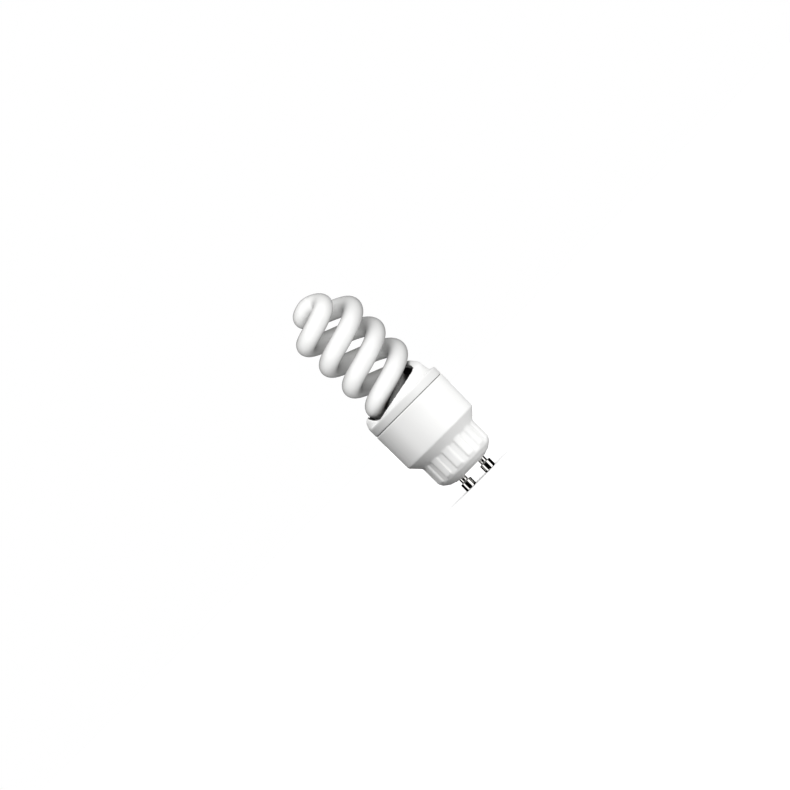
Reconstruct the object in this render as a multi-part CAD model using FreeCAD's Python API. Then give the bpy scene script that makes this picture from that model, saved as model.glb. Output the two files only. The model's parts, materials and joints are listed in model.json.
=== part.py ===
import FreeCAD, Part
import math, os

os.makedirs("parts", exist_ok=True)

# Spiral energy saving lamp with a two-pin twist-lock base, pins down and glass up.
# All lengths are in millimetres, angles in degrees. Heights count from the flat underside of the
# base while the pieces are made. Each is saved with the origin between the two pins, just under
# the shoulders of their heads, where a lampholder takes hold.

# Contact pins, on the standard ten millimetre spacing
pin_spacing = 10.0
pin_shank_diameter = 2.95
pin_head_diameter = 4.9
pin_shank_length = 2.0
pin_head_length = 3.35
pin_edge_radius = 0.35
pin_collar_diameter = 4.4
pin_collar_height = 1.2
pin_bore_diameter = 1.1
pin_bore_floor_z = 0.4
mount_below_shoulder = 0.2

# Ballast housing: ribbed neck, cone and straight body
flat_radius = 7.5
shoulder_radius = 12.1
shoulder_z = 2.5
neck_radius = 12.55
rib_radius = 13.1
rib_count = 13
rib_width = 3.2
rib_first_angle = -99.7
cone_low_z = 12.4
cone_high_z = 16.25
body_high_radius = 17.0
body_draft = 0.2
body_top_z = 32.9
wall = 1.4
floor_thickness = 1.8
seam_bevel = 0.22

# Circuit board, held between a ledge in the housing and the skirt of the tube holder
board_depth = 8.5
board_thickness = 1.6
board_clearance = 0.15
ledge_width = 1.1

# Tube holder: rim, two rising ramps and a collar round each end of the tube
rim_height = 3.85
rim_step = 0.05
rim_edge_radius = 0.6
holder_wall = 1.2
ramp_front_rise = 2.6
ramp_rise = 8.2
ramp_front_start = 165.0
ramp_front_end = 401.0
ramp_back_start = 385.0
ramp_back_end = 500.0
ramp_fall = 6.5
ramp_fall_turn = 45.0
ramp_end_wall = 20.0
ramp_back_foot = 62.0
lip_softness = 1.0
slot_outer_inset = 3.8
slot_width = 5.55
slot_start = 185.0
slot_end = 322.0
hub_radius = 7.2
hub_height = 4.05
hub_wall = 1.2
collar_height = 3.7
collar_top_wall = 0.8
collar_flare = 2.4
collar_clearance = 0.45
hood_foot_radius = 7.2
hood_height = 4.0
hood_mouth_radius = 4.8
hood_mouth_depth = 1.5
hood_y = -0.5
hood_mouth_lift = 0.35
saddle_edges = 6
cement_depth = 2.6
cement_radius = 6.4

# Section of a ramp: its outer side in from the rim and its inner side out from the hub, each as
# (distance, height over the outer lip, share of the wall by which the hollow is lower)
ramp_outer_side = [(1.75, -6.4, 0.0), (2.55, -3.05, 0.0), (2.95, -1.3, 0.4), (3.85, -0.1, 0.7), (5.1, 1.3, 1.0)]
ramp_crest_inset = 6.95
ramp_crest_height = 2.2
ramp_inner_side = [(1.0, 2.8, 1.0), (-0.1, 1.8, 0.5), (-0.6, -2.0, 0.0)]
ramp_root_depth = 12.0
ramp_hollow_root_depth = 14.0
slot_cut_depth = 12.0
loft_step = 20.0

# Profiles of the hood and the hub, as (distance in from the foot, distance down from the top)
hood_side = [(0.9, 1.45), (2.25, 0.35), (2.9, 0.0)]
hood_foot_rise = 0.35
hub_side = [(0.0, 1.8), (1.0, 0.6)]
hub_hollow_side = [(0.0, 1.0), (0.8, 0.4)]

# Profile of a collar, as (distance out from its top wall, distance up)
collar_foot_rise = 0.3
collar_waist_swell = 1.3
collar_waist_share = 0.65
collar_lip_swell = 0.2
collar_lip_drop = 0.4

# Discharge tube: a double coil of one glass tube, leaning a little as it was bent by hand
tube_radius = 3.75
coil_low_radius = 10.65
coil_high_radius = 11.15
half_lead = 11.5
front_crossing_rise = 9.2
lobe_radius = 4.4
lobe_offset = 4.9
crown_rise = 48.55
crown_slope = 0.44
crown_softness = 2.2
leg_a_turn = 182.0
leg_b_turn = 262.0
leg_bend_radius = 6.5
leg_draw_in = 1.25
leg_depth = 3.45
pinch_length = 2.6
pinch_width = 6.4
pinch_thickness = 2.2
coil_offset_x = 1.2
coil_offset_y = 0.7
coil_drift_x = -0.0385
coil_drift_y = -0.05
coil_tilt_x = -0.06
coil_tilt_y = 0.08

# Wires and soldered leads
lead_radius = 0.3
wire_radius = 0.45
lead_tail = 0.7
solder_radius = 0.6
solder_tip_radius = 0.4
solder_height = 0.5

# Heights and radii that follow from those
origin_drop = pin_shank_length + mount_below_shoulder
body_low_radius = body_high_radius - body_draft
rim_radius = body_high_radius - rim_step
rim_top_z = body_top_z + rim_height
board_z = body_top_z - board_depth
slot_outer_radius = rim_radius - slot_outer_inset
slot_inner_radius = slot_outer_radius - slot_width
front_crossing_z = rim_top_z + front_crossing_rise
crown_z = rim_top_z + crown_rise
leg_end_z = rim_top_z - leg_depth


def vector(x, y, z):
    return FreeCAD.Vector(x, y, z)


def save(name, shape):
    """Writes a piece, raised so that the origin lies between the heads of the pins."""
    placed = shape.copy()
    placed.translate(vector(0, 0, origin_drop))
    placed.exportStep("parts/" + name + ".step")


def spun(points, x=0.0, y=0.0):
    """A solid of revolution from (radius, height) points, about a vertical axis at x, y."""
    corners = [vector(x + r, y, z) for r, z in points]
    face = Part.Face(Part.makePolygon(corners + corners[:1]))
    return face.revolve(vector(x, y, 0), vector(0, 0, 1), 360)


def rod(x, y, low, high, radius):
    return Part.makeCylinder(radius, high - low, vector(x, y, low))


def block(x, y, low, size_x, size_y, height, angle=0.0):
    """An upright block centred on x, y and turned about its own upright axis."""
    shape = Part.makeBox(size_x, size_y, height, vector(x - size_x / 2, y - size_y / 2, low))
    shape.rotate(vector(x, y, 0), vector(0, 0, 1), angle)
    return shape


def wire_along(points, radius):
    """A round wire through the points, with a ball at each bend."""
    pieces = []
    for start, end in zip(points, points[1:]):
        way = end.sub(start)
        pieces.append(Part.makeCylinder(radius, way.Length, start, way))
    for corner in points[1:-1]:
        pieces.append(Part.makeSphere(radius, corner))
    return pieces[0].multiFuse(pieces[1:])


def polar(radius, angle):
    return radius * math.cos(math.radians(angle)), radius * math.sin(math.radians(angle))


# The path of the tube, first as an upright double coil about the Z axis.
# A turn of 270 is the front. The second strand is the first one turned half way round.
lobe_straight = math.sqrt(lobe_offset ** 2 - lobe_radius ** 2)
lobe_angle = math.pi / 2 + math.asin(lobe_radius / lobe_offset)
lobe_length = lobe_straight + lobe_radius * lobe_angle
closing_turn = 720.0
lobe_turn = 810.0
centre_turn = 960.0
closing_radius = lobe_radius + lobe_offset


def crown_height(distance):
    """Height of the path near the top, from the distance to its middle."""
    return crown_z - crown_slope * (math.hypot(distance, crown_softness) - crown_softness)


def coil_point(turn):
    share = (turn - leg_a_turn) / (closing_turn - leg_a_turn)
    radius = coil_low_radius + (coil_high_radius - coil_low_radius) * share
    x, y = polar(radius, turn)
    return vector(x, y, front_crossing_z + half_lead * (turn - 270.0) / 180.0)


def closing_point(turn):
    """The quarter turn in which the coil draws in towards the crown."""
    u = (turn - closing_turn) / (lobe_turn - closing_turn)
    ease = u * u * (3.0 - 2.0 * u)
    radius = coil_high_radius + (closing_radius - coil_high_radius) * ease
    x, y = polar(radius, turn)
    start_slope = half_lead / 2.0
    end_slope = crown_slope * closing_radius * math.pi / 2.0
    z = (1.0 - ease) * coil_point(closing_turn).z + ease * crown_height(lobe_length)
    z += (u ** 3 - 2.0 * u ** 2 + u) * start_slope + (u ** 3 - u ** 2) * end_slope
    return vector(x, y, z)


def lobe_point(turn):
    """One half of the S that joins the two strands over the axis."""
    distance = lobe_length * (centre_turn - turn) / (centre_turn - lobe_turn)
    side_x = -lobe_radius / lobe_offset
    side_y = lobe_straight / lobe_offset
    z = crown_height(distance)
    if distance <= lobe_straight:
        return vector(side_x * distance, side_y * distance, z)
    start = math.atan2(side_y * lobe_straight - lobe_offset, side_x * lobe_straight)
    angle = start - (distance - lobe_straight) / lobe_radius
    x = lobe_radius * math.cos(angle)
    y = lobe_offset + lobe_radius * math.sin(angle)
    return vector(x, y, z)


def leaning(point):
    """The hand-bent coil stands off the axis and leans, so its points are shifted."""
    rise = point.z - rim_top_z
    x = point.x + coil_offset_x + coil_drift_x * rise
    y = point.y + coil_offset_y + coil_drift_y * rise
    z = point.z + coil_tilt_x * point.x + coil_tilt_y * point.y
    return vector(x, y, z)


def tube_point(turn, second):
    if turn <= closing_turn:
        point = coil_point(turn)
    elif turn <= lobe_turn:
        point = closing_point(turn)
    else:
        point = lobe_point(turn)
    if second:
        point = vector(-point.x, -point.y, point.z)
    return leaning(point)


def tube_direction(turn, second):
    step = 0.05
    ahead = tube_point(turn + step, second)
    behind = tube_point(turn - step, second)
    return ahead.sub(behind).normalize()


def arc_from(start, corner, end):
    """The arc that leaves start towards corner and arrives at end, or a line if they are in line."""
    middle = (start + end) * 0.5
    if (corner - middle).Length < 1e-5:
        return Part.LineSegment(start, end).toShape()
    weight = (middle - start).Length / (corner - start).Length
    top = (start + corner * (2.0 * weight) + end) * (0.5 / (1.0 + weight))
    return Part.Arc(start, top, end).toShape()


def two_arcs(start, start_way, end, end_way):
    """Two arcs that meet smoothly and keep both end directions."""
    across = end - start
    ways = start_way + end_way
    bend = 2.0 * (1.0 - start_way.dot(end_way))
    if bend < 1e-9:
        reach = across.dot(across) / (2.0 * across.dot(ways))
    else:
        reach = (math.sqrt(across.dot(ways) ** 2 + bend * across.dot(across)) - across.dot(ways)) / bend
    first_corner = start + start_way * reach
    second_corner = end - end_way * reach
    joint = (first_corner + second_corner) * 0.5
    return [arc_from(start, first_corner, joint), arc_from(joint, second_corner, end)]


def leg_edges(turn, second):
    """The end of a strand, bent down into the holder: its line, its bend and the bend's low end."""
    top = tube_point(turn, second)
    way = tube_direction(turn, second) * -1.0
    down = vector(0, 0, -1)
    level = vector(way.x, way.y, 0).normalize()
    inward = (down - way * way.dot(down)).normalize()
    centre = top + inward * leg_bend_radius
    low = centre + level * leg_bend_radius
    drawn = 1.0 - leg_draw_in / math.hypot(low.x, low.y)
    low = vector(low.x * drawn, low.y * drawn, low.z)
    line = Part.LineSegment(vector(low.x, low.y, leg_end_z), low).toShape()
    return line, two_arcs(low, vector(0, 0, 1), top, way * -1.0), low


def strand_stations(first_turn):
    """The turns at which the path is measured, from the leg up to just before the middle."""
    steps = int(math.ceil((closing_turn - first_turn) / 40.0))
    turns = [first_turn + (closing_turn - first_turn) * i / steps for i in range(steps)]
    return turns + [720.0, 765.0, 810.0, 840.0, 870.0, 900.0, 930.0]


line_a, bend_a, low_a = leg_edges(leg_a_turn, False)
line_b, bend_b, low_b = leg_edges(leg_b_turn, True)
middle = leaning(vector(0, 0, crown_z))
middle_way = (tube_point(centre_turn - 0.1, False) - tube_point(centre_turn - 0.1, True)).normalize() * -1.0
stations = [(tube_point(t, False), tube_direction(t, False)) for t in strand_stations(leg_a_turn)]
stations.append((middle, middle_way))
for turn in reversed(strand_stations(leg_b_turn)):
    stations.append((tube_point(turn, True), tube_direction(turn, True) * -1.0))
strand_edges = []
for (start, start_way), (end, end_way) in zip(stations, stations[1:]):
    strand_edges += two_arcs(start, start_way, end, end_way)
tube_edges = [line_a] + bend_a + strand_edges + bend_b + [line_b]


def swept(edges, radius):
    """A round bar along the edges, which must follow one another smoothly."""
    path = Part.Wire(Part.__sortEdges__(edges))
    start = path.OrderedVertexes[0].Point
    first = path.OrderedEdges[0]
    way = first.tangentAt(first.FirstParameter)
    ring = Part.Wire(Part.Circle(start, way, radius).toShape())
    return path.makePipeShell([ring], True, False)


# Discharge tube, with a flattened seal at the end of each leg
tube = swept(tube_edges, tube_radius)
seals = []
for leg in (low_a, low_b):
    leg_angle = math.degrees(math.atan2(leg.y, leg.x))
    seals.append(block(leg.x, leg.y, leg_end_z - pinch_length, pinch_thickness, pinch_width,
                       pinch_length, leg_angle))
discharge_tube = tube.multiFuse(seals)
save("discharge_tube", discharge_tube)

# Ballast housing
outside = [
    (0, 0), (flat_radius, 0), (7.9, 0.3), (9.8, 0.85), (shoulder_radius, shoulder_z),
    (neck_radius, shoulder_z + 0.75), (neck_radius, cone_low_z - (rib_radius - neck_radius)),
    (body_low_radius, cone_high_z), (body_high_radius, body_top_z - seam_bevel),
    (body_high_radius - seam_bevel, body_top_z), (0, body_top_z),
]
inner_neck = neck_radius - wall
inner_body = body_high_radius - wall - 0.1
ledge_radius = inner_body - ledge_width
hollow = [
    (0, floor_thickness), (flat_radius, floor_thickness), (inner_neck, shoulder_z + 1.9),
    (inner_neck, cone_low_z + 0.3), (ledge_radius, cone_high_z + 0.6),
    (ledge_radius, board_z), (inner_body, board_z), (inner_body, body_top_z + 1), (0, body_top_z + 1),
]
housing = spun(outside)

# Ribs round the neck, each with a rounded lower end
rib_zone = spun([
    (neck_radius - 1, shoulder_z - 1), (shoulder_radius - 0.3, shoulder_z - 0.1),
    (rib_radius, shoulder_z + 1.6), (rib_radius, cone_low_z), (neck_radius - 1, cone_low_z),
])
rib_half = rib_width / 2
rib_low_z = shoulder_z + 0.2
rib_face = Part.Face(Part.Wire([
    Part.Arc(vector(0, -rib_half, rib_low_z + rib_half), vector(0, 0, rib_low_z),
             vector(0, rib_half, rib_low_z + rib_half)).toShape(),
    Part.makeLine(vector(0, rib_half, rib_low_z + rib_half), vector(0, rib_half, cone_low_z)),
    Part.makeLine(vector(0, rib_half, cone_low_z), vector(0, -rib_half, cone_low_z)),
    Part.makeLine(vector(0, -rib_half, cone_low_z), vector(0, -rib_half, rib_low_z + rib_half)),
]))
rib = rib_face.extrude(vector(rib_radius * 2, 0, 0)).common(rib_zone)
ribs = []
for i in range(rib_count):
    turned = rib.copy()
    turned.rotate(vector(0, 0, 0), vector(0, 0, 1), rib_first_angle + 360.0 * i / rib_count)
    ribs.append(turned)
housing = housing.multiFuse(ribs).cut(spun(hollow))
for side in (-1, 1):
    housing = housing.cut(rod(side * pin_spacing / 2, 0, -1, floor_thickness + 1, pin_shank_diameter / 2))
save("ballast_housing", housing)

# Contact pins, turned from brass and riveted over inside the floor
shank = pin_shank_diameter / 2
head = pin_head_diameter / 2
collar = pin_collar_diameter / 2
bore = pin_bore_diameter / 2
head_top_z = -pin_shank_length
tip_z = head_top_z - pin_head_length
collar_top_z = floor_thickness + pin_collar_height
pins = []
for side in (-1, 1):
    pins.append(spun([
        (0, tip_z), (head - pin_edge_radius, tip_z), (head, tip_z + pin_edge_radius),
        (head, head_top_z - pin_edge_radius / 2), (head - pin_edge_radius / 2, head_top_z),
        (shank, head_top_z), (shank, floor_thickness), (collar, floor_thickness),
        (collar - 0.5, collar_top_z), (bore, collar_top_z), (bore, pin_bore_floor_z), (0, pin_bore_floor_z),
    ], side * pin_spacing / 2))
save("contact_pins", Part.makeCompound(pins))

# Tube holder
skirt_radius = inner_body
skirt_inner = skirt_radius - holder_wall
deck_z = rim_top_z - holder_wall


def ramp_section(inset, low_z):
    """Points of the section of a ramp as (radius, height over its outer lip)."""
    outer = rim_radius - inset
    inner = hub_radius + inset
    points = [(outer - ramp_outer_side[0][0], low_z)]
    points += [(outer - away, over - inset * share) for away, over, share in ramp_outer_side]
    points.append((rim_radius - ramp_crest_inset, ramp_crest_height - inset))
    points += [(inner + away, over - inset * share) for away, over, share in ramp_inner_side]
    points.append((inner + ramp_inner_side[-1][0], low_z))
    return points


def lip_height(turn, back):
    """Height of a ramp's outer lip: it grows gently out of the rim, climbs, and falls off at its end."""
    middle_turn = 450.0 if back else 270.0
    last_turn = ramp_back_end if back else ramp_front_end
    past_crest = max(0.0, turn - last_turn + ramp_fall_turn) / ramp_fall_turn
    over_rim = ramp_front_rise + ramp_rise * (turn - middle_turn) / 180.0 - ramp_fall * past_crest ** 2
    return rim_top_z + (over_rim + math.hypot(over_rim, lip_softness)) / 2


def lofted_turns(first, last, back, section):
    """A solid that climbs round the axis, lofted through a section that is turned and raised in steps."""
    steps = int(math.ceil((last - first) / loft_step))
    rings = []
    for i in range(steps + 1):
        turn = first + (last - first) * i / steps
        lip = lip_height(turn, back)
        corners = []
        for r, over in section:
            x, y = polar(r, turn)
            corners.append(vector(x, y, lip + over))
        if len(corners) > 4:
            crest = Part.BSplineCurve()
            crest.interpolate(corners[1:-1])
            over_top = crest.toShape()
        else:
            over_top = Part.makeLine(corners[1], corners[2])
        rings.append(Part.Wire([
            Part.makeLine(corners[0], corners[1]), over_top,
            Part.makeLine(corners[-2], corners[-1]), Part.makeLine(corners[-1], corners[0]),
        ]))
    return Part.makeLoft(rings, True, False)


def ramp(first, last, back, inset, low_z):
    return lofted_turns(first, last, back, ramp_section(inset, low_z))


def front_slot():
    """The opening under the lowest strand at the front: a bent bar with a round far end."""
    depth = slot_cut_depth
    section = [(slot_inner_radius, -depth), (slot_inner_radius, depth / 2),
               (slot_outer_radius, depth / 2), (slot_outer_radius, -depth)]
    x, y = polar((slot_outer_radius + slot_inner_radius) / 2, slot_end)
    lip = lip_height(slot_end, False)
    round_end = rod(x, y, lip - depth, lip + depth / 2, slot_width / 2)
    return lofted_turns(slot_start, slot_end, False, section).fuse(round_end)


rim = spun([
    (0, deck_z), (skirt_inner, deck_z), (skirt_inner, board_z + board_thickness),
    (skirt_radius, board_z + board_thickness), (skirt_radius, body_top_z),
    (rim_radius - seam_bevel, body_top_z), (rim_radius, body_top_z + seam_bevel),
    (rim_radius, rim_top_z - rim_edge_radius), (rim_radius - 0.18, rim_top_z - 0.18),
    (rim_radius - rim_edge_radius, rim_top_z), (0, rim_top_z),
])
reach_up = 2 * coil_low_radius
above_deck = rod(0, 0, deck_z, deck_z + reach_up, rim_radius)
hollow_above = rod(0, 0, deck_z - 0.5, deck_z + reach_up, rim_radius)
solid_ramps = [
    ramp(ramp_front_start, ramp_front_end, False, 0.0, -ramp_root_depth).common(above_deck),
    ramp(ramp_back_start, ramp_back_end, True, 0.0, -ramp_root_depth).common(above_deck),
]
hollow_ramps = [
    ramp(ramp_front_start, ramp_front_end - ramp_end_wall, False, holder_wall,
         -ramp_hollow_root_depth).common(hollow_above),
    ramp(ramp_back_start + ramp_back_foot, ramp_back_end - ramp_end_wall, True, holder_wall,
         -ramp_hollow_root_depth).common(hollow_above),
]


def collar_round(leg):
    """A flared collar round a leg of the tube, kept within the rim."""
    bore_radius = tube_radius + collar_clearance
    top_z = rim_top_z + collar_height
    neck = bore_radius + collar_top_wall
    foot = neck + collar_flare
    shape = spun([
        (0, deck_z), (foot, deck_z), (foot, rim_top_z + collar_foot_rise),
        (neck + collar_waist_swell, rim_top_z + collar_height * collar_waist_share),
        (neck + collar_lip_swell, top_z - collar_lip_drop),
        (bore_radius + collar_top_wall / 2, top_z), (0, top_z),
    ], leg.x, leg.y)
    return shape.common(rod(0, 0, deck_z, top_z, rim_radius - rim_edge_radius))


# The hood at the left, where the first strand dips into the holder, with a round mouth towards the front
hood_top_z = rim_top_z + hood_height
hood_mouth = tube_point(leg_a_turn, False)
mouth = Part.makeCylinder(hood_mouth_radius, rim_radius + hood_y + hood_mouth_depth,
                          vector(hood_mouth.x, -rim_radius, hood_mouth.z + hood_mouth_lift), vector(0, 1, 0))
hood_outline = [(0, deck_z), (hood_foot_radius, deck_z), (hood_foot_radius, rim_top_z + hood_foot_rise)]
hood_outline += [(hood_foot_radius - away, hood_top_z - down) for away, down in hood_side]
hood_outline.append((0, hood_top_z))
hood = spun(hood_outline, hood_foot_radius - rim_radius, hood_y).cut(mouth)

hub_top_z = rim_top_z + hub_height
hub_hollow_z = hub_top_z - hub_wall
hub_hollow_radius = hub_radius - hub_wall
hub_outline = [(hub_radius - away, hub_top_z - down) for away, down in hub_side]
hub = spun([(0, deck_z), (hub_radius, deck_z)] + hub_outline + [(0, hub_top_z)])
hub_hollow_outline = [(hub_hollow_radius - away, hub_hollow_z - down) for away, down in hub_hollow_side]
hub_hollow = spun([(0, deck_z - 1), (hub_hollow_radius, deck_z - 1)] + hub_hollow_outline + [(0, hub_hollow_z)])

# The room the tube needs: its legs in their collars and its lowest half turns in their saddles
room_radius = tube_radius + collar_clearance
way_a = swept([line_a] + bend_a + strand_edges[:saddle_edges], room_radius)
way_b = swept([line_b] + bend_b + strand_edges[-saddle_edges:], room_radius)
holder = rim.multiFuse(solid_ramps + [hub])
holder = holder.cut(hollow_ramps[0]).cut(hollow_ramps[1]).cut(hub_hollow)
holder = holder.fuse(collar_round(low_a)).fuse(collar_round(low_b)).fuse(hood)
holder = holder.cut(front_slot())
holder = holder.cut(way_a).cut(way_b)
save("tube_holder", holder)

# Cement that holds the legs of the tube in the holder
cement_low_z = leg_end_z + 0.5
cement_high_z = cement_low_z + cement_depth
cements = []
for leg in (low_a, low_b):
    ring = rod(leg.x, leg.y, cement_low_z, cement_high_z, cement_radius)
    ring = ring.common(rod(0, 0, cement_low_z, cement_high_z, skirt_inner - 0.1))
    cements.append(ring.cut(holder).cut(discharge_tube))
save("tube_cement", Part.makeCompound(cements))

# The driver circuit. Parts hang under the board or lie on top of it.
board_top_z = board_z + board_thickness
under_gap = 1.0
under_z = board_z - under_gap
lead_places = []
top_joints = []
under_joints = []


def leads_under(places, low_z):
    """Leads from a part under the board, up through it to a joint on top."""
    pieces = []
    for x, y in places:
        pieces.append(rod(x, y, low_z, board_top_z + lead_tail, lead_radius))
        lead_places.append((x, y))
        top_joints.append((x, y))
    return pieces


def axial_part(x, y, angle, body_radius, body_length, pitch):
    """A small part lying on the board, with its two leads bent down through it."""
    body_z = board_top_z + body_radius + 0.15
    step_x, step_y = polar(pitch / 2, angle)
    body_x, body_y = polar(body_length / 2, angle)
    ends = [(x - step_x, y - step_y), (x + step_x, y + step_y)]
    start = vector(ends[0][0], ends[0][1], board_z - lead_tail)
    end = vector(ends[1][0], ends[1][1], board_z - lead_tail)
    over = [vector(p.x, p.y, body_z) for p in (start, end)]
    lead_places.extend(ends)
    under_joints.extend(ends)
    body = Part.makeCylinder(body_radius, body_length, vector(x - body_x, y - body_y, body_z),
                             vector(body_x, body_y, 0))
    return wire_along([start, over[0], over[1], end], lead_radius).fuse(body)


# Reservoir capacitor: an upright can with a rolled groove and three score lines in its end
can_x, can_y = -4.7, 1.4
can_radius = 5.0
can_length = 14.5
can_low_z = under_z - can_length
can = spun([
    (0, can_low_z), (can_radius - 0.5, can_low_z), (can_radius, can_low_z + 0.5),
    (can_radius, under_z - 2.6), (can_radius - 0.45, under_z - 2.1), (can_radius, under_z - 1.6),
    (can_radius, under_z - 0.3), (can_radius - 0.3, under_z), (0, under_z),
], can_x, can_y)
score_depth = 0.25
for turn in (0, 60, 120):
    can = can.cut(block(can_x, can_y, can_low_z - score_depth, 6.0, 0.4, 2 * score_depth, turn))
save("reservoir_capacitor", can)
can_leads = leads_under([(can_x - 2.5, can_y), (can_x + 2.5, can_y)], under_z)

# Ballast choke: two E cores round a wound bobbin
choke_x, choke_y = 6.3, -0.4
choke_width = 9.0
choke_depth = 11.0
choke_height = 7.2
core_depth = 4.4
limb = 1.9
centre_limb = 3.0
choke_low_z = under_z - choke_height
core = block(choke_x, choke_y, choke_low_z, choke_width, core_depth, choke_height)
window_width = (choke_width - 2 * limb - centre_limb) / 2
window_height = choke_height - 2 * limb
for side in (-1, 1):
    window_x = choke_x + side * (centre_limb + window_width) / 2
    core = core.cut(block(window_x, choke_y, choke_low_z + limb, window_width, core_depth + 1, window_height))
save("choke_core", core)
tube_wall = 0.35
bobbin_clearance = 0.05
flange = 0.6
inner_x = centre_limb / 2 + bobbin_clearance
inner_y = core_depth / 2 + bobbin_clearance
outer_reach = centre_limb / 2 + window_width - 0.1
bobbin_low = choke_low_z + limb
bobbin = block(choke_x, choke_y, bobbin_low, 2 * (inner_x + tube_wall), 2 * (inner_y + tube_wall), window_height)
for low in (bobbin_low, bobbin_low + window_height - flange):
    bobbin = bobbin.fuse(block(choke_x, choke_y, low, 2 * outer_reach, choke_depth, flange))
bobbin = bobbin.cut(block(choke_x, choke_y, bobbin_low - 1, 2 * inner_x, 2 * inner_y, window_height + 2))
winding_height = window_height - 2 * flange
winding_low = bobbin_low + flange
coil = block(choke_x, choke_y, winding_low, 2 * outer_reach - 0.3, choke_depth - 0.8, winding_height)
upright_edges = [e for e in coil.Edges if abs(e.tangentAt(e.FirstParameter).z) > 0.9]
coil = coil.makeFillet(0.9, upright_edges)
coil = coil.cut(block(choke_x, choke_y, winding_low - 1, 2 * (inner_x + tube_wall),
                      2 * (inner_y + tube_wall), winding_height + 2))
save("choke_bobbin", bobbin)
save("choke_winding", coil)
choke_lead_y = choke_depth / 2 - 0.5
choke_leads = leads_under([(choke_x + sx * 2.4, choke_y + sy * choke_lead_y)
                           for sx in (-1, 1) for sy in (-1, 1)], bobbin_low + window_height)

# Driver transformer: a ferrite ring with three small windings
ring_x, ring_y = -1.2, 9.4
ring_radius = 3.6
ring_section = 1.0
ring_z = under_z - ring_section - 0.5
ferrite_ring = Part.makeTorus(ring_radius - ring_section, ring_section, vector(ring_x, ring_y, ring_z))
save("driver_ring", ferrite_ring)
turn_radius = 0.22
windings = []
for start_angle, count in ((60, 4), (180, 4), (300, 2)):
    loops = []
    for i in range(count):
        angle = start_angle + (i - (count - 1) / 2) * 11.0
        x, y = polar(ring_radius - ring_section, angle)
        loop = Part.makeTorus(ring_section + turn_radius, turn_radius, vector(ring_x + x, ring_y + y, ring_z),
                              vector(-y, x, 0))
        loops.append(loop)
    windings.append(loops[0].multiFuse(loops[1:]).cut(ferrite_ring))
driver_windings = Part.makeCompound(windings)
save("driver_windings", driver_windings)
ring_leads = []
for angle in (50, 190):
    x, y = polar(ring_radius - ring_section, angle)
    ring_leads += leads_under([(ring_x + x, ring_y + y)], ring_z + ring_section + 2 * turn_radius)

# Two switching transistors, flat on one side
transistor_radius = 2.3
transistor_height = 4.6
transistor_flat = 1.3
transistor_gap = 1.6
transistor_pitch = 1.27
transistor_bodies = []
transistor_leads = []
for x, y, angle in ((6.4, -9.6, 212.0), (-1.7, -11.3, 172.0)):
    transistor_top_z = under_z - transistor_gap
    body = rod(x, y, transistor_top_z - transistor_height, transistor_top_z, transistor_radius)
    cut_x, cut_y = polar(transistor_flat + transistor_radius, angle - 90.0)
    body = body.cut(block(x + cut_x, y + cut_y, transistor_top_z - transistor_height - 1, 3 * transistor_radius,
                          2 * transistor_radius, transistor_height + 2, angle))
    transistor_bodies.append(body)
    for step in (-transistor_pitch, 0, transistor_pitch):
        step_x, step_y = polar(step, angle)
        transistor_leads += leads_under([(x + step_x, y + step_y)], transistor_top_z)
save("transistors", Part.makeCompound(transistor_bodies))


def film_capacitor(radius, angle, length, depth, height):
    """A dipped film capacitor standing across a radius, with rounded edges."""
    x, y = polar(radius, angle)
    body = block(x, y, under_z - height, depth, length, height, angle)
    body = body.makeFillet(depth * 0.3, body.Edges)
    step_x, step_y = polar(length / 2 - 1.0, angle + 90)
    return body, leads_under([(x - step_x, y - step_y), (x + step_x, y + step_y)], under_z)


resonance_capacitor, resonance_leads = film_capacitor(11.0, 226.0, 6.6, 3.0, 6.4)
save("resonance_capacitor", resonance_capacitor)
coupling_capacitor, coupling_leads = film_capacitor(11.6, 148.0, 5.4, 2.4, 5.2)
save("coupling_capacitor", coupling_capacitor)

# Filter inductor: a drum core with its winding
drum_x, drum_y = 5.6, 9.3
drum_radius = 3.0
drum_low_z = under_z - 6.4
drum = spun([
    (0, drum_low_z), (drum_radius, drum_low_z), (drum_radius, drum_low_z + 1.1), (1.4, drum_low_z + 1.1),
    (1.4, under_z - 1.1), (drum_radius, under_z - 1.1), (drum_radius, under_z), (0, under_z),
], drum_x, drum_y)
save("filter_core", drum)
filter_winding = spun([
    (1.4, drum_low_z + 1.1), (2.7, drum_low_z + 1.1), (2.7, under_z - 1.1), (1.4, under_z - 1.1),
], drum_x, drum_y)
save("filter_winding", filter_winding)
drum_leads = leads_under([(drum_x - 1.8, drum_y), (drum_x + 1.8, drum_y)], under_z)

# Parts that lie on top of the board
diodes = []
for y in (-3.6, -5.8, -8.0):
    diodes.append(axial_part(-4.6, y, 0, 1.0, 3.6, 6.4))
diodes.append(axial_part(2.6, -0.4, 90, 1.0, 3.6, 6.4))
save("rectifier_diodes", Part.makeCompound(diodes))
save("trigger_diac", axial_part(3.9, -7.4, 0, 0.85, 2.9, 5.6))
resistors = []
for x, y, angle in ((7.2, 1.4, 90), (9.6, 1.4, 90), (4.8, 1.4, 90), (-1.6, -1.4, 0)):
    resistors.append(axial_part(x, y, angle, 0.8, 3.0, 5.4))
save("resistors", Part.makeCompound(resistors))

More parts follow.
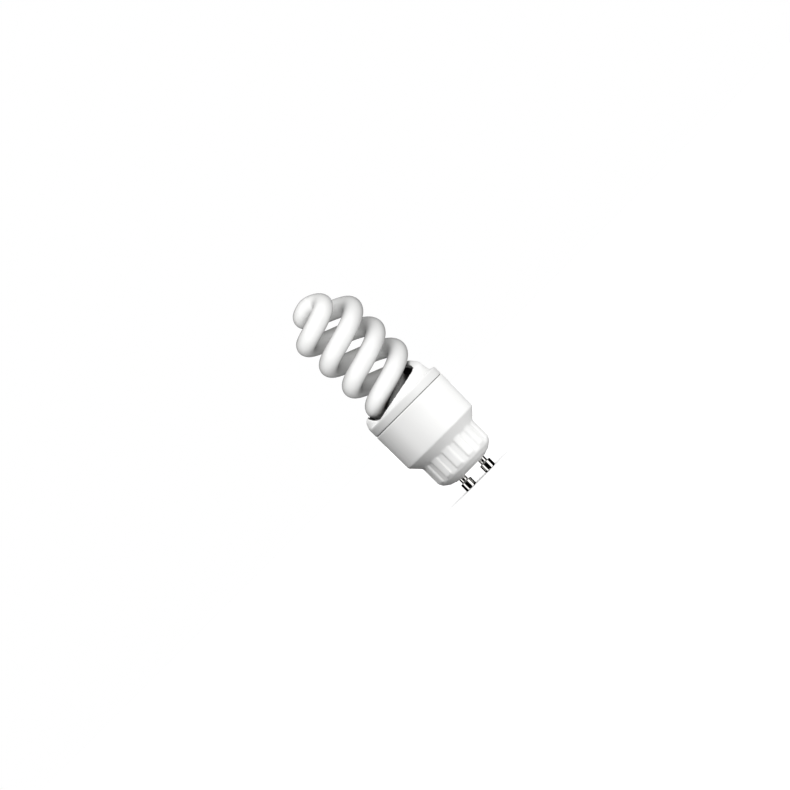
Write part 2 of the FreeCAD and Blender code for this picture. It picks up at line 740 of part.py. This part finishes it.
# Posts for the wires of the tube, and those wires
post_half = 0.4
post_inset_a = 4.6
post_inset_b = 3.1
post_spread = 2.1
seal_wire_spread = 1.6
seal_wire_drop = 1.2
post_top_z = board_top_z + 3.2
post_places = []
tube_wires = []
for leg, post_inset in ((low_a, post_inset_a), (low_b, post_inset_b)):
    leg_angle = math.degrees(math.atan2(leg.y, leg.x))
    leg_radius = math.hypot(leg.x, leg.y)
    for side in (-1, 1):
        from_x, from_y = polar(leg_radius, leg_angle)
        across_x, across_y = polar(side * seal_wire_spread, leg_angle + 90)
        post_x, post_y = polar(leg_radius - post_inset, leg_angle)
        aside_x, aside_y = polar(side * post_spread, leg_angle + 90)
        post_x += aside_x
        post_y += aside_y
        post_places.append((post_x, post_y))
        seal_z = leg_end_z - pinch_length
        tube_wires.append(wire_along([
            vector(from_x + across_x, from_y + across_y, seal_z),
            vector(from_x + across_x, from_y + across_y, seal_z - seal_wire_drop),
            vector(post_x, post_y, post_top_z + lead_radius),
        ], lead_radius))
posts = [block(x, y, board_z - lead_tail, 2 * post_half, 2 * post_half, post_top_z - board_z + lead_tail)
         for x, y in post_places]
save("winding_posts", Part.makeCompound(posts))
all_posts = Part.makeCompound(posts)
save("tube_wires", Part.makeCompound([w.cut(discharge_tube).cut(all_posts) for w in tube_wires]))

# Mains wires from the pins to the board, one of them through a fusible resistor
fuse_x = pin_spacing / 2
fuse_low_z = 6.0
fuse_high_z = 12.0
fuse_radius = 1.3
fuse_top = [(3.0, -10.2)]
plain_top = [(0.4, -8.9)]
pin_wire_z = 0.4
fusible = wire_along([
    vector(fuse_x, 0, pin_wire_z), vector(fuse_x, 0, fuse_high_z + 0.8),
    vector(fuse_top[0][0], fuse_top[0][1], 15.2),
    vector(fuse_top[0][0], fuse_top[0][1], board_top_z + lead_tail),
], wire_radius).fuse(rod(fuse_x, 0, fuse_low_z, fuse_high_z, fuse_radius))
save("fusible_resistor", fusible)
mains_wire = wire_along([
    vector(-fuse_x, 0, pin_wire_z), vector(-fuse_x, 0, 4.6), vector(-1.4, -6.6, 8.6),
    vector(plain_top[0][0], plain_top[0][1], 13.0),
    vector(plain_top[0][0], plain_top[0][1], board_top_z + lead_tail),
], wire_radius)
save("mains_wire", mains_wire)

# Leads of the parts under the board, the joints, and the board with its holes
save("component_leads", Part.makeCompound(
    can_leads + choke_leads + ring_leads + transistor_leads + resonance_leads + coupling_leads + drum_leads))
joints = []
for x, y in top_joints:
    cone = Part.makeCone(solder_radius, solder_tip_radius, solder_height, vector(x, y, board_top_z))
    joints.append(cone.cut(rod(x, y, board_z, board_top_z + 2, lead_radius)))
for x, y in fuse_top + plain_top:
    cone = Part.makeCone(solder_radius + 0.2, solder_tip_radius + 0.2, solder_height, vector(x, y, board_top_z))
    joints.append(cone.cut(rod(x, y, board_z, board_top_z + 2, wire_radius)))
for x, y in under_joints:
    cone = Part.makeCone(solder_tip_radius, solder_radius, solder_height, vector(x, y, board_z - solder_height))
    joints.append(cone.cut(rod(x, y, board_z - 2, board_top_z, lead_radius)))
save("solder_joints", Part.makeCompound(joints))
holes = [rod(x, y, board_z - 1, board_top_z + 1, lead_radius) for x, y in lead_places]
holes += [rod(x, y, board_z - 1, board_top_z + 1, wire_radius) for x, y in fuse_top + plain_top]
board = rod(0, 0, board_z, board_top_z, inner_body - board_clearance)
board = board.cut(Part.makeCompound(holes)).cut(all_posts)
save("circuit_board", board)
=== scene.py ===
# %% [markdown]
# # A spiral energy saving lamp
# The lamp is a white glass tube, bent into a double coil, on a white plastic housing with two
# contact pins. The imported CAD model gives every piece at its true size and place. This lesson
# shades the glass smooth, gives the moulded pieces soft edges, makes the pins as a lathe would,
# and gives each piece the material that the real one is made of. The view is the photograph's:
# the lamp lies across the picture with its pins at the lower right, seen square on.

# %% Load the CAD model
import json
import math

import bmesh
import bpy
from mathutils import Matrix, Vector


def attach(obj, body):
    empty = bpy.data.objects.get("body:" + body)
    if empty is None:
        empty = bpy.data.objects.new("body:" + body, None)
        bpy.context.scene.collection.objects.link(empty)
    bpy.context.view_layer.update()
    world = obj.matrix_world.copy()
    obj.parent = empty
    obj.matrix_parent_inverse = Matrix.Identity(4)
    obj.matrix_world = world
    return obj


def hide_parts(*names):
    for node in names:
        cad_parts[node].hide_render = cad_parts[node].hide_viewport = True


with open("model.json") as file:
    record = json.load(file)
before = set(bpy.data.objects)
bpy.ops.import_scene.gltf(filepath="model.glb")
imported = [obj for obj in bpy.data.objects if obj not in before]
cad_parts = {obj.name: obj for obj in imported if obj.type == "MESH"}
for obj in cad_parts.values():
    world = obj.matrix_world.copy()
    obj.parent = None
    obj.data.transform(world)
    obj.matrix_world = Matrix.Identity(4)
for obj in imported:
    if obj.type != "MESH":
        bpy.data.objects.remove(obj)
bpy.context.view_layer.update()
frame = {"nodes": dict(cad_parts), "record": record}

# %% [markdown]
# Blender works in metres and the lamp was measured in millimetres, so one name turns one into
# the other. Colours are picked as web colours, which are sRGB, while Blender's nodes count in
# linear light, so one function turns them by the curve that the sRGB standard gives.

# %% Units and colours
MM = 0.001


def colour(web):
    """A linear colour from an sRGB web colour such as #F2F0EA."""
    parts = [int(web[i:i + 2], 16) / 255 for i in (1, 3, 5)]
    return tuple(p / 12.92 if p <= 0.04045 else ((p + 0.055) / 1.055) ** 2.4 for p in parts) + (1.0,)


# %% [markdown]
# A material is a small graph of nodes. This helper adds one node, gives it its settings, and
# fills its sockets: a plain value is set, and another node's socket is linked. The scale of a
# pattern is how many times it fits in a metre, so it's worked out from its size in millimetres.

# %% A node, a new material, and the scale of a pattern
def add(tree, kind, settings=None, sockets=None):
    node = tree.nodes.new(kind)
    for name, value in (settings or {}).items():
        setattr(node, name, value)
    for name, value in (sockets or {}).items():
        if isinstance(value, bpy.types.NodeSocket):
            tree.links.new(value, node.inputs[name])
        else:
            node.inputs[name].default_value = value
    return node


def new_material(name):
    """An empty material, with the position on the object as its first node."""
    material = bpy.data.materials.new(name)
    material.use_nodes = True
    tree = material.node_tree
    tree.nodes.clear()
    place = add(tree, "ShaderNodeTexCoord").outputs["Object"]
    return material, tree, place


def per_metre(size_mm):
    return 1.0 / (size_mm * MM)


def finish_material(tree, shader):
    add(tree, "ShaderNodeOutputMaterial", sockets={"Surface": shader.outputs["BSDF"]})


# %% [markdown]
# A gap between two white pieces swallows light, and the holder is hollow behind its slots. This
# helper darkens a colour where a point is closed in by what stands round it within a reach: a
# deep gap gets the darkest tone, a corner is toned down a little, and open faces keep theirs.
# That is shade painted into the colour, on top of what the lights do, and its tones were chosen
# against the photograph.

# %% Darker colour in narrow gaps
GAP_REACH = 9.0 * MM
GAP_RAYS = 8
OPEN_SHARE = 0.97


def shade_gaps(tree, tone, deep, corner):
    """Deep and corner are each (share of open sky, brightness left there)."""
    hemmed = add(tree, "ShaderNodeAmbientOcclusion", {"samples": GAP_RAYS}, {"Distance": GAP_REACH})
    ramp = add(tree, "ShaderNodeValToRGB", sockets={"Fac": hemmed.outputs["AO"]})
    stops = ramp.color_ramp.elements
    stops[0].position, stops[1].position = deep[0], OPEN_SHARE
    stops[0].color = (deep[1], deep[1], deep[1], 1.0)
    stops[1].color = (1.0, 1.0, 1.0, 1.0)
    stops.new(corner[0]).color = (corner[1], corner[1], corner[1], 1.0)
    return add(tree, "ShaderNodeVectorMath", {"operation": "MULTIPLY"}, {
        0: tone, 1: ramp.outputs["Color"]}).outputs["Vector"]


# %% [markdown]
# ## The white coated glass
# The tube is clear soda-lime glass with a white phosphor powder baked on its inner wall. From
# outside you see the powder's soft, even white behind a smooth skin of glass. That is a satin
# white with a clear coat on it. The coat's index is kept low, so that the skin gives a hint of
# a shine and no hard lines. The powder is a touch thicker in some places than in others, so a
# very faint noise varies its white, and another one lets the skin wander as drawn glass does.

# %% Phosphor-coated glass
GLASS_DEEP_GAP = (0.25, 0.88)
GLASS_CORNER = (0.62, 0.97)


def make_coated_glass():
    material, tree, place = new_material("phosphor_coated_glass")
    cloud = add(tree, "ShaderNodeTexNoise", sockets={
        "Vector": place, "Scale": per_metre(6), "Detail": 3.0})
    powder = add(tree, "ShaderNodeMix", {"data_type": "RGBA"}, {
        "Factor": cloud.outputs["Fac"], "A": colour("#F7F7F6"), "B": colour("#FCFCFB")})
    wave = add(tree, "ShaderNodeTexNoise", sockets={
        "Vector": place, "Scale": per_metre(9), "Detail": 1.0})
    bump = add(tree, "ShaderNodeBump", sockets={
        "Height": wave.outputs["Fac"], "Strength": 0.05, "Distance": 0.1 * MM})
    shader = add(tree, "ShaderNodeBsdfPrincipled", sockets={
        "Base Color": shade_gaps(tree, powder.outputs["Result"], GLASS_DEEP_GAP, GLASS_CORNER),
        "Roughness": 0.35, "IOR": 1.5, "Normal": bump.outputs["Normal"],
        "Coat Weight": 1.0, "Coat Roughness": 0.10, "Coat IOR": 1.08, "Coat Tint": colour("#DEDEDE")})
    finish_material(tree, shader)
    return material


# %% [markdown]
# ## The moulded white plastic
# The housing and the tube holder are injection moulded PBT, a heat-proof plastic. Its surface
# is a copy of the polished mould: satin, with a fine texture of a few tenths of a millimetre
# that only breaks up the highlight, and faint flow clouds where the plastic met and cooled. In
# the photograph the holder's rim is a little greyer than its top. It may be the light there, or
# a more matt mould. Here the material's colour can be toned darker below a height, to match
# that.

# %% Injection-moulded PBT
PBT_ROUGHNESS = 0.34
PBT_DEEP_GAP = (0.34, 0.05)
PBT_CORNER = (0.58, 0.86)
DARKER_BRIGHTNESS = 0.86
DARKER_FADE = 0.9 * MM


def make_white_plastic(name, darker_below=None):
    """White plastic, toned down below a height in metres where one is given."""
    material, tree, place = new_material(name)
    flow = add(tree, "ShaderNodeTexNoise", sockets={
        "Vector": place, "Scale": per_metre(14), "Detail": 2.0, "Distortion": 0.6})
    tint = add(tree, "ShaderNodeMix", {"data_type": "RGBA"}, {
        "Factor": flow.outputs["Fac"], "A": colour("#F3F3F2"), "B": colour("#F7F7F6")})
    grain = add(tree, "ShaderNodeTexNoise", sockets={
        "Vector": place, "Scale": per_metre(0.35), "Detail": 2.0})
    gloss = add(tree, "ShaderNodeMapRange", sockets={
        "Value": grain.outputs["Fac"], "From Min": 0.3, "From Max": 0.7,
        "To Min": PBT_ROUGHNESS - 0.04, "To Max": PBT_ROUGHNESS + 0.05})
    bump = add(tree, "ShaderNodeBump", sockets={
        "Height": grain.outputs["Fac"], "Strength": 0.12, "Distance": 0.02 * MM})
    tone = tint.outputs["Result"]
    # Below the given height the colour is toned darker, and the change fades in over a short rise.
    if darker_below:
        height = add(tree, "ShaderNodeSeparateXYZ", sockets={"Vector": place}).outputs["Z"]
        share = add(tree, "ShaderNodeMapRange", {"interpolation_type": "SMOOTHSTEP"}, {
            "Value": height, "From Min": darker_below, "From Max": darker_below + DARKER_FADE,
            "To Min": DARKER_BRIGHTNESS, "To Max": 1.0}).outputs["Result"]
        tone = add(tree, "ShaderNodeVectorMath", {"operation": "SCALE"}, {
            0: tone, "Scale": share}).outputs["Vector"]
    shader = add(tree, "ShaderNodeBsdfPrincipled", sockets={
        "Base Color": shade_gaps(tree, tone, PBT_DEEP_GAP, PBT_CORNER),
        "Roughness": gloss.outputs["Result"], "IOR": 1.5, "Normal": bump.outputs["Normal"]})
    finish_material(tree, shader)
    return material


# %% [markdown]
# ## The metals
# The pins are turned from brass and nickel plated. The lathe leaves rings round each pin that
# are finer than a pixel here, so they are drawn as coarse as they need to show, 0.6 mm apart.
# Tinned wire and solder are the same kind of metal with other colours and a softer gloss. At a
# scale of 1, Blender's wave texture repeats every 2 pi / 20 of a metre.

# %% Turned and plated metal
WAVES_PER_METRE = 20.0 / (2.0 * math.pi)
RING_DEPTH = 0.01 * MM


def make_metal(name, web, roughness, ring_mm, ring_strength):
    material, tree, place = new_material(name)
    rings = add(tree, "ShaderNodeTexWave", {"wave_type": "BANDS", "bands_direction": "Z"}, {
        "Vector": place, "Scale": per_metre(ring_mm) / WAVES_PER_METRE, "Distortion": 0.8, "Detail": 1.0})
    smear = add(tree, "ShaderNodeTexNoise", sockets={
        "Vector": place, "Scale": per_metre(0.8), "Detail": 2.0})
    gloss = add(tree, "ShaderNodeMapRange", sockets={
        "Value": smear.outputs["Fac"], "From Min": 0.3, "From Max": 0.7,
        "To Min": roughness * 0.8, "To Max": roughness * 1.3})
    bump = add(tree, "ShaderNodeBump", sockets={
        "Height": rings.outputs["Fac"], "Strength": ring_strength, "Distance": RING_DEPTH})
    shader = add(tree, "ShaderNodeBsdfPrincipled", sockets={
        "Base Color": colour(web), "Metallic": 1.0, "Roughness": gloss.outputs["Result"],
        "Normal": bump.outputs["Normal"]})
    finish_material(tree, shader)
    return material


# %% [markdown]
# ## The circuit inside
# The board and its parts are shut in the housing, and only a little of them shows through the
# holder's slot. They still get the finish of the real ones, for whoever opens the model: paper
# laminate, sintered ferrite, lacquer, epoxy, a shrunk sleeve and enamelled copper. They differ
# in colour, in gloss and in the size of their speckle, so one function makes them all.

# %% Speckled finishes for the circuit's parts
SPECKLE_DEPTH = 0.03 * MM


def make_speckled(name, low, high, roughness, speckle_mm, bump_strength, metallic=0.0):
    material, tree, place = new_material(name)
    speckle = add(tree, "ShaderNodeTexNoise", sockets={
        "Vector": place, "Scale": per_metre(speckle_mm), "Detail": 3.0, "Roughness": 0.6})
    tint = add(tree, "ShaderNodeMix", {"data_type": "RGBA"}, {
        "Factor": speckle.outputs["Fac"], "A": colour(low), "B": colour(high)})
    bump = add(tree, "ShaderNodeBump", sockets={
        "Height": speckle.outputs["Fac"], "Strength": bump_strength, "Distance": SPECKLE_DEPTH})
    shader = add(tree, "ShaderNodeBsdfPrincipled", sockets={
        "Base Color": tint.outputs["Result"], "Metallic": metallic, "Roughness": roughness,
        "Normal": bump.outputs["Normal"]})
    finish_material(tree, shader)
    return material


# %% [markdown]
# The record names a material slot for every node of the CAD model. Each slot gets the finish of
# what the real piece is made of, and each node takes the finish of its slot.

# %% A finish for every slot
finishes = {
    "phosphor_glass": make_coated_glass(),
    "white_plastic": make_white_plastic("moulded_pbt"),
    "nickel_plate": make_metal("nickel_plated_brass", "#E2E1DE", 0.05, 0.6283, 0.04),
    "tinned_wire": make_metal("tinned_copper_wire", "#C9C8C4", 0.30, 1.885, 0.05),
    "solder": make_metal("cooled_solder", "#B4B6B8", 0.38, 3.1416, 0.10),
    "board_laminate": make_speckled("paper_laminate", "#B79350", "#C9A765", 0.60, 0.6, 0.25),
    "can_sleeve": make_speckled("shrunk_sleeve", "#101114", "#191A1E", 0.28, 1.2, 0.05),
    "ferrite": make_speckled("sintered_ferrite", "#2A2A2C", "#3A3A3D", 0.55, 0.15, 0.40),
    "bobbin_plastic": make_speckled("moulded_bobbin", "#DCD6C2", "#E6E1D0", 0.50, 0.8, 0.10),
    "enamelled_copper": make_speckled("enamelled_copper", "#8A3C1A", "#B25A2A", 0.30, 0.3, 0.60, 0.6),
    "black_epoxy": make_speckled("moulded_epoxy", "#131313", "#1E1E1E", 0.48, 0.3, 0.20),
    "film_coating": make_speckled("dipped_coating", "#7A2115", "#92301F", 0.22, 1.5, 0.15),
    "resistor_lacquer": make_speckled("resistor_lacquer", "#C9AE7C", "#D8C093", 0.35, 0.6, 0.15),
    "diac_glass": make_speckled("tinted_glass", "#C9713F", "#DB8A55", 0.12, 0.8, 0.05),
    "cement": make_speckled("ceramic_cement", "#DEDBD2", "#ECEAE3", 0.85, 0.4, 0.60),
}
slot_of = {part["node"]: part["material_slot"] for part in frame["record"]["subparts"]}
for name, node in frame["nodes"].items():
    node.data.materials.clear()
    node.data.materials.append(finishes[slot_of[name]])
print("Materials:", len(finishes), "on", len(frame["nodes"]), "nodes")


# %% [markdown]
# ## Smooth skins for the curved pieces
# A CAD node arrives as loose flat triangles, so a bent glass tube would show its facets in the
# highlight. A copy is made of each piece that shows, its loose corners are merged, and it's
# shaded smooth up to an angle, so that true edges stay crisp. That is enough for the tube. The
# holder and the housing have knife edges and long thin triangles, which catch the light
# unevenly, while a moulded piece has soft edges. So they are first remade in small even cells
# and smoothed a few times. The holder has the finer forms, and gets smaller cells and more
# passes. The copy then stands for the CAD node.

# %% A smooth copy of a CAD node
MERGE_WITHIN = 0.002 * MM
GLASS_CREASE = 35
MOULDED_CREASE = 60
HOLDER_CELL = 0.25 * MM
HOLDER_PASSES = 12
HOUSING_CELL = 0.32 * MM
HOUSING_PASSES = 5


def deselect_all():
    bpy.ops.object.select_all(action="DESELECT")


def pick(thing):
    deselect_all()
    thing.select_set(True)
    bpy.context.view_layer.objects.active = thing


def soften_edges(piece, cell, passes):
    """Gives a piece small even faces, and edges as soft as a mould leaves them."""
    even = piece.modifiers.new("even_cells", "REMESH")
    even.mode = "VOXEL"
    even.voxel_size = cell
    bpy.ops.object.modifier_apply(modifier=even.name)
    soften = piece.modifiers.new("soft_edges", "SMOOTH")
    soften.factor = 0.5
    soften.iterations = passes
    bpy.ops.object.modifier_apply(modifier=soften.name)


def smooth_copy(node_name, piece_name, crease, cell=None, passes=0):
    source = frame["nodes"][node_name]
    piece = bpy.data.objects.new(piece_name, source.data.copy())
    bpy.context.scene.collection.objects.link(piece)
    pick(piece)
    bpy.ops.object.mode_set(mode="EDIT")
    bpy.ops.mesh.select_all(action="SELECT")
    bpy.ops.mesh.remove_doubles(threshold=MERGE_WITHIN)
    bpy.ops.object.mode_set(mode="OBJECT")
    if cell:
        soften_edges(piece, cell, passes)
    bpy.ops.object.shade_smooth_by_angle(angle=math.radians(crease))
    normals = piece.modifiers.new("even_normals", "WEIGHTED_NORMAL")
    normals.keep_sharp = True
    normals.weight = 100
    bpy.ops.object.modifier_apply(modifier=normals.name)
    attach(piece, "root")
    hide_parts(node_name)
    print(piece_name, "has", len(piece.data.polygons), "faces")
    return piece


spiral_tube = smooth_copy("discharge_tube", "spiral_glass_tube", GLASS_CREASE)
holder_skin = smooth_copy(
    "tube_holder", "moulded_tube_holder", MOULDED_CREASE, HOLDER_CELL, HOLDER_PASSES)
smooth_copy("ballast_housing", "moulded_housing", MOULDED_CREASE, HOUSING_CELL, HOUSING_PASSES)

# %% [markdown]
# The rim's top is 38.95 mm above the origin, where the ramps start. The greyer tone holds up to
# 38.4 mm, and fades out over the rim's rounded edge.

# %% The darker rim of the holder
DARKER_RIM_TOP = 38.4 * MM
holder_skin.data.materials[0] = make_white_plastic("moulded_pbt_with_darker_rim", darker_below=DARKER_RIM_TOP)

# %% [markdown]
# ## The contact pins
# Each pin is turned on a lathe: a thick head that hooks into the lampholder, on a thinner
# shank. A cylinder is added at the head's size, its top is inset to the shank's width and drawn
# up into the base, and a bevel rounds the edges that the lathe tool breaks. The origin is where
# the lampholder takes hold of the heads, and the flat underside of the base is 2.2 mm above it.

# %% Turn the two pins
BASE_Z = 2.2 * MM
PIN_SPACING = 10.0 * MM
PIN_HEAD_RADIUS = 2.45 * MM
PIN_SHANK_RADIUS = 1.475 * MM
PIN_HEAD_LOW = BASE_Z - 5.35 * MM
PIN_HEAD_TOP = BASE_Z - 2.0 * MM
PIN_SHANK_TOP = BASE_Z + 1.8 * MM
PIN_SIDES = 96
PIN_EDGE = 0.35 * MM
PIN_EDGE_STEPS = 5
PIN_EDGE_ANGLE = 60
PIN_CREASE = 40
FACES_UP = 0.9


def choose_faces(piece, wanted):
    """Selects, in edit mode, only the faces for which wanted(face) is true."""
    bpy.ops.mesh.select_mode(type="FACE")
    bpy.ops.mesh.select_all(action="DESELECT")
    mesh = bmesh.from_edit_mesh(piece.data)
    for face in mesh.faces:
        face.select_set(wanted(face))
    bmesh.update_edit_mesh(piece.data)


def is_top(face):
    return face.normal.z > FACES_UP and len(face.verts) == PIN_SIDES


def turn_pin(name, x):
    deselect_all()
    bpy.ops.mesh.primitive_cylinder_add(
        vertices=PIN_SIDES, radius=PIN_HEAD_RADIUS, depth=PIN_HEAD_TOP - PIN_HEAD_LOW,
        location=(x, 0, (PIN_HEAD_TOP + PIN_HEAD_LOW) / 2))
    pin = bpy.context.object
    pin.name = name
    bpy.ops.object.transform_apply(location=True, rotation=True, scale=True)
    bpy.ops.object.mode_set(mode="EDIT")
    choose_faces(pin, is_top)
    bpy.ops.mesh.inset(thickness=PIN_HEAD_RADIUS - PIN_SHANK_RADIUS)
    choose_faces(pin, is_top)
    bpy.ops.mesh.extrude_region_move(
        TRANSFORM_OT_translate={"value": (0, 0, PIN_SHANK_TOP - PIN_HEAD_TOP)})
    bpy.ops.object.mode_set(mode="OBJECT")
    edge = pin.modifiers.new("broken_edges", "BEVEL")
    edge.width = PIN_EDGE
    edge.segments = PIN_EDGE_STEPS
    edge.limit_method = "ANGLE"
    edge.angle_limit = math.radians(PIN_EDGE_ANGLE)
    bpy.ops.object.modifier_apply(modifier=edge.name)
    bpy.ops.object.shade_smooth_by_angle(angle=math.radians(PIN_CREASE))
    pin.data.materials.clear()
    pin.data.materials.append(finishes["nickel_plate"])
    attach(pin, "root")
    print(name, "has", len(pin.data.polygons), "faces")
    return pin


left_pin = turn_pin("left_contact_pin", -PIN_SPACING / 2)
right_pin = turn_pin("right_contact_pin", PIN_SPACING / 2)
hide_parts("contact_pins")
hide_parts("contact_pins")

# %% [markdown]
# ## The floor
# The lamp stands on its pins on a pale matt table. The photograph shows no table, and the lamp
# is lit a little from below in it. So the camera sees this floor, but the light that bounces
# round the lamp doesn't, and the floor keeps no light from the lamp.

# %% A pale floor
FLOOR_HALF = 6.0
FLOOR_BELOW_PINS = 0.01 * MM
deselect_all()
bpy.ops.mesh.primitive_plane_add(size=2 * FLOOR_HALF, location=(0, 0, PIN_HEAD_LOW - FLOOR_BELOW_PINS))
floor = bpy.context.object
floor.name = "pale_floor"
floor_paint, floor_tree, _ = new_material("matt_white_table")
floor_shader = add(floor_tree, "ShaderNodeBsdfDiffuse", sockets={"Color": colour("#FAFAFA")})
finish_material(floor_tree, floor_shader)
floor.data.materials.append(floor_paint)
floor.visible_diffuse = False
floor.visible_glossy = False
floor.visible_shadow = False

# %% [markdown]
# ## Soft studio light
# The picture is lit the way a white product usually is: with large soft boxes, so that white on
# white keeps its shape by gentle shading alone. Here each soft box is a glow painted on the sky
# round the lamp, and their sum is the light. It's strongest from overhead, from the front and
# from the right, also low down there, and weakest from the left and from below, which leaves
# the left side and the underside of the cone and of each strand grey.

# %% The soft boxes on the sky
world = bpy.data.worlds.new("studio")
bpy.context.scene.world = world
world.use_nodes = True
sky = world.node_tree
sky.nodes.clear()
facing = add(sky, "ShaderNodeTexCoord").outputs["Generated"]


def soft_box(way, edge, strength):
    """A soft glow round one direction: nothing at the edge's cosine, and full at its middle."""
    direction = Vector(way).normalized()
    near = add(sky, "ShaderNodeVectorMath", {"operation": "DOT_PRODUCT"}, {0: facing, 1: direction})
    return add(sky, "ShaderNodeMapRange", {"interpolation_type": "SMOOTHSTEP"}, {
        "Value": near.outputs["Value"], "From Min": edge, "From Max": 1.0,
        "To Min": 0.0, "To Max": strength}).outputs["Result"]


def total(lights):
    """The sum of several values."""
    result = lights[0]
    for light in lights[1:]:
        result = add(sky, "ShaderNodeMath", {"operation": "ADD"}, {0: result, 1: light}).outputs["Value"]
    return result


right_front = soft_box((0.7, -0.7, 0.0), 0.4, 0.47)
left_high = soft_box((-0.45, -0.45, 0.75), 0.5, 0.46)
overhead = soft_box((0.0, 0.0, 1.0), 0.2, 0.80)
low_right = soft_box((0.7, -0.45, -0.55), 0.4, 0.80)
right_back = soft_box((0.7, 0.7, 0.0), 0.2, 0.66)
behind = soft_box((0.0, 1.0, 0.2), 0.45, 0.75)
high_front = soft_box((0.0, -0.6, 0.8), 0.3, 0.84)
near_camera = soft_box((0.2, -0.95, 0.1), 0.75, 0.78)
glow = total([right_front, left_high, overhead, low_right, right_back, behind, high_front, near_camera])
light = add(sky, "ShaderNodeBackground", sockets={"Color": colour("#FFFFFF"), "Strength": glow})

# %% [markdown]
# A plated pin is a small mirror, and shows what stands round it. In the photograph each pin is
# dark with two bright upright lines. So glossy rays see only two upright strips of light, which
# also takes the sky's reflection off the glass and the plastic. The camera itself sees a plain
# white backdrop.

# %% Two strips for the pins, and the backdrop
STRIP_FADE = 5
flat = add(sky, "ShaderNodeVectorMath", {"operation": "MULTIPLY"}, {0: facing, 1: (1.0, 1.0, 0.0)})
level = add(sky, "ShaderNodeVectorMath", {"operation": "NORMALIZE"}, {0: flat.outputs["Vector"]})


def strip_light(turn, half_width, strength):
    """An upright strip of light, at this turn from the front towards the right, in degrees."""
    way = (math.sin(math.radians(turn)), -math.cos(math.radians(turn)), 0.0)
    near = add(sky, "ShaderNodeVectorMath", {"operation": "DOT_PRODUCT"}, {
        0: level.outputs["Vector"], 1: way})
    return add(sky, "ShaderNodeMapRange", {"interpolation_type": "SMOOTHSTEP"}, {
        "Value": near.outputs["Value"],
        "From Min": math.cos(math.radians(half_width + STRIP_FADE)),
        "From Max": math.cos(math.radians(half_width - STRIP_FADE)),
        "To Min": 0.0, "To Max": strength}).outputs["Result"]


left_strip = strip_light(-60, 12, 1.6)
right_strip = strip_light(48, 18, 1.6)
strips = add(sky, "ShaderNodeBackground", sockets={
    "Color": colour("#FFFFFF"), "Strength": total([left_strip, right_strip])})
backdrop = add(sky, "ShaderNodeBackground", sockets={"Color": colour("#FFFFFF"), "Strength": 1.0})
ray = add(sky, "ShaderNodeLightPath")
lit = add(sky, "ShaderNodeMixShader", sockets={
    0: ray.outputs["Is Glossy Ray"], 1: light.outputs["Background"], 2: strips.outputs["Background"]})
seen = add(sky, "ShaderNodeMixShader", sockets={
    0: ray.outputs["Is Camera Ray"], 1: lit.outputs["Shader"], 2: backdrop.outputs["Background"]})
add(sky, "ShaderNodeOutputWorld", sockets={"Surface": seen.outputs["Shader"]})

# %% [markdown]
# Two more soft lights are for the glass alone, because in the photograph it's brighter than the
# sky above makes it. Light linking keeps them off the housing, which a photographer could only
# do roughly, with cards. One opens up the glass's shadow side from the left and a little below.
# The other comes from beside the camera and brightens the middle of each strand.

# %% Two soft lights for the glass
lit_glass = bpy.data.collections.new("lit_by_glass_lights")
lit_glass.objects.link(spiral_tube)


def glass_light(name, way, strength, spread):
    """A sun lamp that shines from this way, as wide as this spread in degrees."""
    data = bpy.data.lights.new(name, "SUN")
    data.energy = strength
    data.angle = math.radians(spread)
    lamp = bpy.data.objects.new(name, data)
    bpy.context.scene.collection.objects.link(lamp)
    lamp.rotation_euler = Vector(way).to_track_quat("Z", "Y").to_euler()
    lamp.light_linking.receiver_collection = lit_glass


glass_light("glass_fill", (-0.90, -0.35, -0.42), 2.5, 100)
glass_light("glass_front", (0.1, -1.0, 0.15), 0.62, 40)

# %% [markdown]
# ## The camera
# The photograph shows the lamp square on from the side, laid across the picture at 45 degrees,
# with the glass up and to the left. A long lens from two metres gives the same flat view. One
# pixel is 0.3731 mm, so the 790 pixels of the frame are 294.8 mm wide at the lamp.

# %% The photograph's view
FRAME_WIDTH = 294.8 * MM
LENS = 250.0
SENSOR = 36.0
CLIP_NEAR = 0.1
CLIP_FAR = 50.0
LOOK_AT = Vector((-0.91 * MM, 0, BASE_Z + 39.31 * MM))
distance = FRAME_WIDTH * LENS / SENSOR
camera_data = bpy.data.cameras.new("long_lens")
camera_data.lens = LENS
camera_data.sensor_width = SENSOR
camera_data.clip_start = CLIP_NEAR
camera_data.clip_end = CLIP_FAR
camera = bpy.data.objects.new("camera", camera_data)
bpy.context.scene.collection.objects.link(camera)
ahead = Vector((0, 1, 0))
up = Vector((1, 0, 1)).normalized()
right = ahead.cross(up)
turn = Matrix((right, up, -ahead)).transposed()
camera.matrix_world = Matrix.Translation(LOOK_AT - ahead * distance) @ turn.to_4x4()
bpy.context.scene.camera = camera
bpy.context.scene.view_settings.view_transform = "Standard"
bpy.context.scene.view_settings.look = "None"
print("Camera distance in metres:", round(distance, 3))
